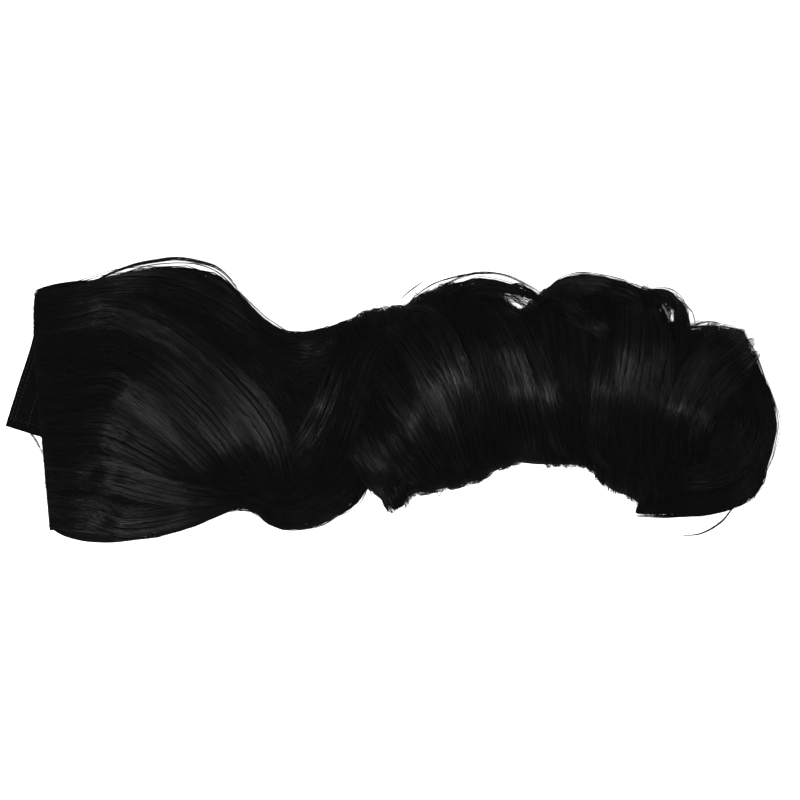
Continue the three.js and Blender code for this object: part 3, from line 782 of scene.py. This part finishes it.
def strandTree():  # strands laid along sheets, each a tapered tube
    sizes = [label.capitalize() for label in strands if label != "points"] + ["Density", "Ground"]
    inputs = [("Sheets", "Geometry"), ("Points", "Int"), ("Seed", "Int"), ("Material", "Material")]
    inputs += [(label, "Float") for label in sizes]
    tree, given, made = newTree("hairStrands", "GeometryNodeTree", inputs, [("Geometry", "Geometry")])
    habit = strandHabit

    def mathNode(operation):  # one operation as a function
        return lambda *values: calc(tree, operation, *values)

    times, plus, minus, over = (mathNode(name) for name in ("MULTIPLY", "ADD", "SUBTRACT", "DIVIDE"))
    timesPlus, power, floor = (mathNode(name) for name in ("MULTIPLY_ADD", "POWER", "FLOOR"))
    smaller, larger = mathNode("MINIMUM"), mathNode("MAXIMUM")

    def between(value, margin):
        return smaller(larger(value, margin), 1 - margin)

    def vector(x, y, z=0.0):
        return outOf(tree, "ShaderNodeCombineXYZ", {0: x, 1: y, 2: z})

    def split(value):
        return addNode(tree, "ShaderNodeSeparateXYZ", {0: value}).outputs

    def noise(at):  # round zero
        return minus(outOf(tree, "ShaderNodeTexNoise", {"Vector": at, "Scale": 1.0, "Detail": 1.0}), 0.5)

    def attribute(label, kind="FLOAT_VECTOR"):
        return geo(tree, "InputNamedAttribute", {"Name": label}, data_type=kind)

    def store(geometry, label, value, kind="FLOAT"):
        sockets = {"Geometry": geometry, "Name": label, "Value": value}
        return geo(tree, "StoreNamedAttribute", sockets, data_type=kind, domain="POINT")

    def chance(number, low, high, owner=None):
        sockets = {2: low, 3: high, "ID": owner or strand, "Seed": plus(given["Seed"], number)}
        return addNode(tree, "FunctionNodeRandomValue", sockets, data_type="FLOAT").outputs[1]

    def sampled(value, at, kind="FLOAT_VECTOR"):
        sockets = {"Mesh": given["Sheets"], "Value": value, "UV Map": attribute("place"), "Sample UV": at}
        return geo(tree, "SampleUVSurface", sockets, data_type=kind)

    seeds = {"Mesh": given["Sheets"], "Density": given["Density"], "Seed": given["Seed"]}
    roots = store(geo(tree, "DistributePointsOnFaces", seeds), "strand", geo(tree, "InputIndex"), "INT")
    copied = {"Geometry": roots, "Amount": given["Points"]}
    points, step = addNode(tree, "GeometryNodeDuplicateElements", copied, domain="POINT").outputs
    points = store(points, "share", over(step, minus(given["Points"], 1.0)))
    strand, share = attribute("strand", "INT"), attribute("share", "FLOAT")
    placeX, placeY, _ = split(attribute("place"))
    tile = times(floor(times(placeX, 0.5)), 2.0)

    # Its stretch of the sheet, from root to tip
    length = chance(1, given["Shortest"], given["Longest"])
    start = minus(placeY, times(length, chance(2, *habit["rootPlace"])))
    reach = minus(1.0, times(given["Ragged"], chance(8, 0.0, 1.0)))
    start = larger(smaller(start, minus(reach, length)), 0.0)
    along = larger(timesPlus(length, share, start), habit["endMargin"])
    along = smaller(along, smaller(reach, 1 - habit["endMargin"]))

    # Across the sheet: drawn to the middle of its bunch, and drifting a little
    u = minus(placeX, tile)
    clump = floor(times(u, given["Clumps"]))
    bunch = timesPlus(tile, habit["bunchStep"], clump)
    centre = over(plus(clump, 0.5), given["Clumps"])
    pull = times(given["Clumping"], timesPlus(share, 1 - habit["rootPull"], habit["rootPull"]))
    u = timesPlus(minus(centre, u), pull, u)
    strandStep, alongStep = habit["wander"]
    wander = noise(vector(times(strand, strandStep), times(along, alongStep), tile))
    u = timesPlus(wander, given["Drift"], u)
    spread = times(chance(11, -0.5, 0.5), power(along, habit["splayPower"]))
    u = between(timesPlus(spread, given["Splay"], u), habit["sideMargin"])
    spot = vector(plus(tile, u), along)

    # Lifted off the sheet, with the ends tucked in and a few strands standing proud
    ends = power(mathNode("ABSOLUTE")(timesPlus(share, 2.0, -1.0)), habit["tuckPower"])
    lift = times(given["Lift"], chance(3, -1.0, 1.0))
    swing = noise(vector(times(bunch, habit["swingStep"]), times(along, given["Waves"])))
    lift = timesPlus(swing, given["Kink"], lift)
    lift = minus(lift, times(given["Tuck"], ends))
    arch = mathNode("SINE")(times(share, math.pi))
    proud = power(chance(4, 0.0, 1.0), habit["strayPower"])
    lift = timesPlus(times(arch, proud), given["Stray"], lift)
    outward = sampled(attribute("outward"), spot)
    raised = outOf(tree, "ShaderNodeVectorMath", {0: outward, "Scale": lift}, operation="SCALE")
    seat = sampled(geo(tree, "InputPosition"), spot)
    x, y, z = split(outOf(tree, "ShaderNodeVectorMath", {0: seat, 1: raised}, operation="ADD"))
    seat = vector(x, y, larger(z, given["Ground"]))

    # Tone, and the gloss that also paints shade, partly its own and partly its bunch's
    tone = plus(chance(5, 0.0, habit["ownTone"]), chance(7, 0.0, 1 - habit["ownTone"], bunch))
    sheen = plus(chance(9, *habit["sheen"]), chance(10, *habit["sheen"], bunch))
    strandShift, bunchShift = habit["glossAndShadeShift"]
    shift = plus(chance(12, -strandShift, strandShift), chance(13, -bunchShift, bunchShift, bunch))
    shone = vector(plus(tile, u), between(plus(along, shift), habit["endMargin"]))
    points = store(points, "tone", tone)
    points = store(points, "glossAndShade", times(sampled(attribute("glossAndShade", "FLOAT"), shone, "FLOAT"), sheen))

    points = geo(tree, "SetPosition", {"Geometry": points, "Position": seat})
    curves = geo(tree, "PointsToCurves", {"Points": points, "Curve Group ID": strand, "Weight": share})
    thick = times(given["Radius"], chance(6, *habit["thickness"]))
    thick = times(thick, timesPlus(ends, -habit["taper"], 1.0))
    circle = geo(tree, "CurvePrimitiveCircle", {"Resolution": habit["sides"], "Radius": 1.0})
    tubes = {"Curve": curves, "Profile Curve": circle, "Scale": thick, "Fill Caps": True}
    return finished(tree, geo(tree, "CurveToMesh", tubes), given, made)


hairBlack = hairMaterial()
strandGrowth = strandTree()


def grow(name, sheets, perSquareCm, seed, **changes):
    values = {label.capitalize(): value for label, value in {**strands, **changes}.items()}
    values["Density"] = perSquareCm * 1e4  # on a square metre
    values["Ground"] = hair["ground"] * mm
    values["Seed"] = seed
    values["Material"] = hairBlack
    carrier = sheetCarrier(name + " sheets", sheets)
    return settle(grown(carrier, strandGrowth, values, name), "hair")


lockPieces = [  # name, locks, strands on a square centimetre, seed, and how its strands differ
    ("hair_sweep", sweepLocks, 5.4, 11, {}),
    ("hair_first_wave", waveLocks + pocketLocks, 6.8, 23, {}),
    ("hair_second_curl", secondLocks, 6.8, 37, {}),
    ("hair_third_curl", thirdLocks, 6.8, 41, {}),
    ("hair_end_curl", endLocks, 6.8, 53, {}),
    ("hair_cut_ends", cutLocks, 6.8, 67, {"tuck": 0.4 * mm, "clumping": 0.35, "ragged": 0.2, "splay": 0.2}),
]
for name, locks, perSquareCm, seed, changes in lockPieces:
    sheets = [(grid, sheetNormals(grid), glossAndShade) for grid, glossAndShade in map(lockSheet, locks)]
    grow(name, sheets, perSquareCm, seed, **changes)

underGrids = [
    alongSheet(-206, -20), wrapSheet(-60, 70, 62), wrapSheet(95, 140, 40), wrapSheet(140, 215, 14),
    alongSheet(205, 279),
]
underSheets = []
for grid in underGrids:
    out = sheetNormals(grid)
    underSheets.append((grid + under["rise"] * out, out, under["glossAndShade"]))
grow("hair_under", underSheets, perSquareCm=1.5, seed=79, lift=0.5 * mm, points=10)

head = headSheet()
# The sewn hair's gloss paints it dark as shade, less so towards its combed near end
combed = 1 - smoothStep(*sewnHead["combedEnd"], head[..., 1])
headGloss = sewnHead["glossAndShade"] + sewnHead["combedGloss"] * combed
grow("hair_head", [(head, sheetNormals(head), headGloss)], perSquareCm=6.0, seed=83, points=9,
     shortest=0.5, longest=0.8, clumps=60.0, drift=0.02, tuck=0.5 * mm, ragged=0.4, kink=0.8 * mm,
     waves=2.0, stray=1.5 * mm)


# Loose wisps: the path of each, x, y and z, and half its width
wisps = [
    ([(-220, 85.5, 10), (-206, 92.5, 14), (-189, 98, 18), (-169, 101.5, 20), (-155, 102.5, 21),
      (-140, 100, 22), (-128, 96, 22), (-118, 87.5, 22), (-112, 79.5, 21)], 1.5),
    ([(-214, 86, 12), (-196, 92.5, 16), (-176, 98, 19), (-156, 99.5, 21), (-140, 98, 22), (-126, 92, 22),
      (-115, 81, 21), (-107, 70, 19)], 0.5),
    ([(-200, 87, 14), (-180, 92.5, 18), (-158, 94, 21), (-138, 90.5, 23), (-120, 81, 23),
      (-106, 65, 20)], 1.6),
    ([(1.5, 69, 20), (12, 79, 22), (29, 90.5, 23)], 0.5),
    ([(14, 74, 21), (28, 83.5, 23), (44, 89, 24), (60, 91.5, 24), (74, 91, 24)], 0.7),
    ([(23, 75, 22), (42, 86, 24), (61, 92, 25), (82, 90, 25), (100, 82, 24), (111, 75, 22)], 0.9),
    ([(261, -66, 9), (250, -78, 6), (240.5, -89.5, 4), (226, -98, 3), (211, -99.5, 3)], 0.9),
    ([(209, 45, 26), (216, 53, 25), (226, 57, 24), (238, 56, 22)], 2.2),
    ([(74, 79, 25), (84, 76, 25), (94, 69, 24), (102, 60, 24)], 1.6),
    ([(76, 77, 24), (88, 74.5, 24), (100, 69, 24), (110, 62, 24)], 4.5),
    ([(186, 74, 27), (195, 71.5, 27), (201, 67, 27), (205, 60, 26), (206, 50, 25)], 2.8),
    ([(-268, -22, 4), (-262, -30, 2), (-257, -40, 1.5)], 1.2),
    ([(117, -28, 8), (126, -38, 4), (138, -43, 2), (147, -42, 2)], 1.4),
    ([(187, 75, 27), (193, 72.5, 27), (197, 68.5, 27), (199, 62, 26), (199, 54, 25)], 2.6),
    ([(186, 76, 26), (191, 73.5, 26), (195, 69.5, 26), (197.5, 64, 25), (198, 56, 24)], 3.0),
]
hemEdge = [  # the outer edge of the hem, in the same form
    ([(-250, -92, 6), (-241, -95.5, 7), (-228, -98, 8), (-212, -99.5, 9), (-196, -99.5, 10),
      (-180, -98.5, 10)], 5.0),
    ([(-249, -88, 8), (-240, -91, 9), (-228, -93.5, 10), (-212, -95, 11), (-196, -95, 12)], 5.0),
]
bristles = [  # the fringe of the cut ends, in the same form
    ([(226, 44, 33), (229, 51, 32), (231, 56.5, 31)], 4.0),
    ([(236, 44, 33), (239, 50.5, 32), (242, 55, 31)], 4.0),
    ([(244, 40, 33), (249, 46, 32), (254, 51, 31)], 4.0),
    ([(250, 34, 32), (256, 39.5, 31), (262, 44, 30)], 4.0),
    ([(254, 27, 31), (260, 31, 30), (265.5, 34, 29)], 4.0),
    ([(6, -62, 15), (10, -68, 12), (13.5, -73, 9)], 4.0),
    ([(0, -67, 13), (2, -74, 9), (3.5, -79, 7)], 4.0),
]
ribbonPieces = [  # name, ribbons, gloss (which also paints shade), strands on a square centimetre, seed, and how its strands differ
    ("hair_wisps", wisps, 0.3, 14.0, 97,
     {"points": 22, "radius": 0.18 * mm, "lift": 0.5 * mm, "shortest": 0.6, "drift": 0.8}),
    ("hair_hem_edge", hemEdge, 0.3, 30.0, 103,
     {"points": 12, "lift": 0.5 * mm, "shortest": 0.7, "clumping": 0.1}),
    ("hair_bristles", bristles, 0.5, 50.0, 101,
     {"points": 8, "radius": 0.25 * mm, "lift": 1.0 * mm, "shortest": 0.5, "clumps": 4.0, "ragged": 0.35,
      "splay": 0.3}),
]
for name, ribbons, glossAndShade, perSquareCm, seed, changes in ribbonPieces:
    grids = [ribbonSheet(points, half) for points, half in ribbons]
    sheets = [(grid, sheetNormals(grid, upward=True), glossAndShade) for grid in grids]
    grow(name, sheets, perSquareCm, seed, tuck=0.0, kink=0.0, stray=0.0, **changes)


# The band: a folded strip of woven cloth with stitched rows

woven = {
    "stations": 190,     # sections along the band
    "acrossSteps": 20,
    "edgeRound": (0.25, 0.6),   # inset and rise of the rounded edges, in halves of the wall
    "seamWidth": 0.9,
    "seamDent": 0.22,    # how far a row of stitches pulls the cloth in
    "outerDent": 0.5,    # share of it on the hair side
    "pucker": 0.09,      # waves of the cloth between the stitches
    "puckerSlant": 0.5,
    "puckerFade": 9,     # how soon they end beside a row
    "gapColour": (0.0004, 0.0004, 0.0004, 1),   # between the threads
    "dark": (0.0004, 0.0004, 0.0005, 1),
    "light": (0.0012, 0.0012, 0.0014, 1),
    "clouds": {"Scale": 40.0, "Contrast": 1.6},
    "roughness": (0.85, 1.0),
    "specular": 0.04,
    "weavePitch": 0.0011,
    "weaveBump": 0.5,
    "weaveDepth": 0.0002,
}
stitching = {
    "rows": (2.4, 5.2, 15.5, 27.0),   # from the sewn edge
    "pitch": 3.0,
    "length": 2.5,
    "thread": 0.5,
    "sink": 0.05,
    "rowEnd": 0.012,     # a row stops this share short of the band's ends
    "rowPoints": 400,
    "endRow": 0.014,     # where the row across an end lies
    "endMargins": (3, 2),
    "endPoints": 30,
    "dark": (0.002, 0.002, 0.002, 1),
    "light": (0.006, 0.006, 0.006, 1),
    "clouds": {"Scale": 300.0, "Contrast": 2.0},
    "specular": 0.1,
}


def bandMaterial():
    material, tree, surface = newMaterial("black woven band")
    uv = outOf(tree, "ShaderNodeUVMap", uv_map="weave")
    along, across, _ = addNode(tree, "ShaderNodeSeparateXYZ", {0: uv}).outputs
    weave = placed(tree, plainWeave, Across=across, Along=along, Pitch=woven["weavePitch"])
    mask = placed(tree, cloud, **woven["clouds"])["Mask"]
    tint = mixed(tree, mask, woven["dark"], woven["light"])
    fill(tree, surface, {
        "Base Color": mixed(tree, weave["Mask"], woven["gapColour"], tint),
        "Roughness": ranged(tree, mask, *woven["roughness"]),
        "Specular IOR Level": woven["specular"],
        "Normal": bumped(tree, weave["Height"], woven["weaveBump"], woven["weaveDepth"]),
    })
    return material


def threadMaterial():
    material, tree, surface = newMaterial("black thread")
    mask = placed(tree, cloud, **stitching["clouds"])["Mask"]
    shade = placed(tree, fibreShade, Tone=mask, Gloss=1.0, Dark=stitching["dark"], Light=stitching["light"])
    fill(tree, surface, {
        "Base Color": shade["Colour"], "Roughness": shade["Roughness"],
        "Specular IOR Level": stitching["specular"],
    })
    return material


def runAlong(points):  # the length run at each point
    return np.append(0, np.cumsum(np.linalg.norm(np.diff(points, axis=0), axis=1)))


def bandSections():  # rings round the cloth, and the length run along the band
    frames = [weftFrame(t) for t in np.linspace(0, 1, woven["stations"])]
    run = runAlong(np.array([edge for edge, _, _, _ in frames]))
    width, half = band["width"], band["wall"] / 2
    inset, rise = (share * half for share in woven["edgeRound"])
    a = np.linspace(half, width - half, woven["acrossSteps"])
    dent = sum(np.exp(-(((a - row) / woven["seamWidth"]) ** 2)) for row in stitching["rows"])
    dent = dent * woven["seamDent"]
    right = [(width - inset, -rise), (width, 0), (width - inset, rise)]
    outer = np.stack([a, half - woven["outerDent"] * dent], -1)[::-1]
    left = [(inset, rise), (0, 0), (inset, -rise)]
    rings = []
    for (edge, across, out, _), s in zip(frames, run):
        wave = np.sin(2 * math.pi * s / stitching["pitch"] + woven["puckerSlant"] * a)
        pucker = woven["pucker"] * wave * np.exp(-woven["puckerFade"] * dent)
        inner = np.stack([a, dent - half - pucker], -1)
        ring = np.concatenate([inner, right, outer, left])
        rings.append(edge + ring[:, :1] * across + ring[:, 1:] * out)
    return np.array(rings), run


def bandCloth():
    rings, run = bandSections()
    count, sides = rings.shape[:2]
    corner = np.arange(count * sides).reshape(count, sides)
    beside = np.roll(corner, -1, axis=1)
    faces = np.stack([corner[:-1], corner[1:], beside[1:], beside[:-1]], -1).reshape(-1, 4).tolist()
    faces += [corner[0].tolist(), corner[-1][::-1].tolist()]
    mesh = bpy.data.meshes.new("base_band_cloth")
    mesh.from_pydata(inFrame(rings).reshape(-1, 3).tolist(), [], faces)
    work = bmesh.new()
    work.from_mesh(mesh)
    if work.calc_volume(signed=True) < 0:
        bmesh.ops.reverse_faces(work, faces=work.faces)
    work.to_mesh(mesh)
    work.free()
    weave = np.stack([np.repeat(run, sides), np.tile(runAlong(rings[0]), count)], -1) * mm
    layer = mesh.uv_layers.new(name="weave")
    loops = np.zeros(len(mesh.loops), int)
    mesh.loops.foreach_get("vertex_index", loops)
    layer.data.foreach_set("uv", weave[loops].astype(np.float32).ravel())
    mesh.polygons.foreach_set("use_smooth", np.ones(len(mesh.polygons), bool))
    mesh.materials.append(bandMaterial())
    return linked("base_band_cloth", mesh), run[-1]


def stitchTree():  # short threads laid one after the other along lines
    tree, given, made = newTree("stitchRow", "GeometryNodeTree", [
        ("Lines", "Geometry"), ("Pitch", "Float"), ("Length", "Float"), ("Thickness", "Float"),
        ("Material", "Material"),
    ], [("Geometry", "Geometry")])
    lines = geo(tree, "MeshToCurve", {"Mesh": given["Lines"]})
    spots = addNode(tree, "GeometryNodeCurveToPoints", {"Curve": lines, "Length": given["Pitch"]},
                    mode="LENGTH").outputs
    turn = outOf(tree, "FunctionNodeAlignRotationToVector", {"Vector": spots["Tangent"]}, axis="Z")
    thread = geo(tree, "MeshIcoSphere", {"Radius": 1.0, "Subdivisions": 2})
    thick, long = (calc(tree, "MULTIPLY", given[label], 0.5) for label in ("Thickness", "Length"))
    size = outOf(tree, "ShaderNodeCombineXYZ", {0: thick, 1: thick, 2: long})
    laid = {"Points": spots["Points"], "Instance": thread, "Rotation": turn, "Scale": size}
    return finished(tree, geo(tree, "InstanceOnPoints", laid), given, made)


def stitchLines():  # the rows on the inner face, and one across each end
    wall, sunk = band["wall"] / 2, woven["seamDent"] - stitching["sink"]
    start = stitching["rowEnd"]
    frames = [weftFrame(t) for t in np.linspace(start, 1 - start, stitching["rowPoints"])]
    rows = []
    for a in stitching["rows"]:
        rows.append([edge + a * across + (sunk - wall) * out for edge, across, out, _ in frames])
    first, last = stitching["endMargins"]
    for t in (stitching["endRow"], 1 - stitching["endRow"]):
        edge, across, out, _ = weftFrame(t)
        places = np.linspace(first, band["width"] - last, stitching["endPoints"])
        rows.append([edge + a * across - wall * out for a in places])
    points, edges = [], []
    for row in rows:
        edges += [(len(points) + i, len(points) + i + 1) for i in range(len(row) - 1)]
        points += row
    mesh = bpy.data.meshes.new("stitch lines")
    mesh.from_pydata(inFrame(points).tolist(), edges, [])
    return linked("stitch lines", mesh)


cloth, bandLength = bandCloth()
settle(cloth, "band", "base_band")
stitches = grown(stitchLines(), stitchTree(), {
    "Pitch": stitching["pitch"] * mm, "Length": stitching["length"] * mm,
    "Thickness": stitching["thread"] * mm, "Material": threadMaterial(),
}, "band_stitches")
settle(stitches, "band")
print("band is", round(bandLength, 1), "mm long")


# The snap clips keep the frame's own shape

clips = {
    "dark": (0.004, 0.004, 0.0045, 1),
    "light": (0.010, 0.010, 0.011, 1),
    "clouds": {"Scale": 180.0, "Contrast": 2.4},
    "roughness": (0.28, 0.5),
    "bump": 0.15,
    "bumpDepth": 0.0002,
}


def clipMaterial():
    material, tree, surface = newMaterial("black enamelled steel")
    mask = placed(tree, cloud, **clips["clouds"])["Mask"]
    fill(tree, surface, {
        "Base Color": mixed(tree, mask, clips["dark"], clips["light"]),
        "Roughness": ranged(tree, mask, *clips["roughness"]),
        "Normal": bumped(tree, mask, clips["bump"], clips["bumpDepth"]),
    })
    return material


clipBlack = clipMaterial()
for name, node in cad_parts.items():
    if name.startswith("snap_clip"):
        node.material_slots[0].material = clipBlack
print("clips dressed")


# Floor, light and camera

stage = {
    "floor": 14.0,
    "floorDark": (0.88, 0.88, 0.88, 1),
    "floorLight": (0.92, 0.92, 0.92, 1),
    "floorClouds": {"Scale": 3.0, "Contrast": 0.6},
    "floorRoughness": 0.8,
    "floorSpecular": 0.2,
    "roomLight": 0.06,
    "framePixels": 800,
    "pixel": 0.73,             # millimetres at the focus height
    "zeroPixel": (393, 400),   # where the tables' zero lies in the picture
    "lens": 100.0,
    "sensor": 36.0,
    "focusHeight": 12,
}
lamps = [  # name, place, width of its disk and watts
    ("key", (-0.2, -0.08, 2.2), 0.5, 120),
    ("left fill", (-1.8, 0.2, 1.3), 1.0, 4),
    ("right fill", (0.9, 0.5, 2.0), 0.5, 22),
]


def floorMaterial():
    material, tree, surface = newMaterial("pale floor")
    mask = placed(tree, cloud, **stage["floorClouds"])["Mask"]
    fill(tree, surface, {
        "Base Color": mixed(tree, mask, stage["floorDark"], stage["floorLight"]),
        "Roughness": stage["floorRoughness"], "Specular IOR Level": stage["floorSpecular"],
    })
    return material


def paleFloor():
    half = stage["floor"] / 2
    corners = [(-half, -half, 0), (half, -half, 0), (half, half, 0), (-half, half, 0)]
    mesh = bpy.data.meshes.new("floor")
    mesh.from_pydata(corners, [], [(0, 1, 2, 3)])
    mesh.materials.append(floorMaterial())
    linked("floor", mesh)


def areaLight(name, place, size, watts):  # turned towards the frame's zero
    light = bpy.data.lights.new(name, "AREA")
    light.shape = "DISK"
    light.size = size
    light.energy = watts
    lamp = linked(name, light)
    lamp.location = place
    x, y, z = place
    lamp.rotation_euler = (math.atan2(math.hypot(x, y), z), 0.0, math.atan2(-y, -x) - math.pi / 2)
    lamp.visible_camera = False


def softRoom():
    world = bpy.data.worlds.new("soft room")
    world.use_nodes = True
    background = world.node_tree.nodes["Background"]
    background.inputs["Color"].default_value = (1, 1, 1, 1)
    background.inputs["Strength"].default_value = stage["roomLight"]
    scene.world = world


def lookDown():
    span = stage["framePixels"] * stage["pixel"]
    middle = (stage["framePixels"] / 2 - np.array(stage["zeroPixel"])) * np.array((1, -1)) * stage["pixel"]
    camera = bpy.data.cameras.new("camera")
    camera.lens = stage["lens"]
    camera.sensor_width = stage["sensor"]
    distance = span * camera.lens / camera.sensor_width
    eye = linked("camera", camera)
    eye.location = inFrame((middle[0], middle[1], stage["focusHeight"] + distance))
    scene.camera = eye


paleFloor()
for lamp in lamps:
    areaLight(*lamp)
softRoom()
scene.view_settings.view_transform = "Standard"
lookDown()
print("stage set")
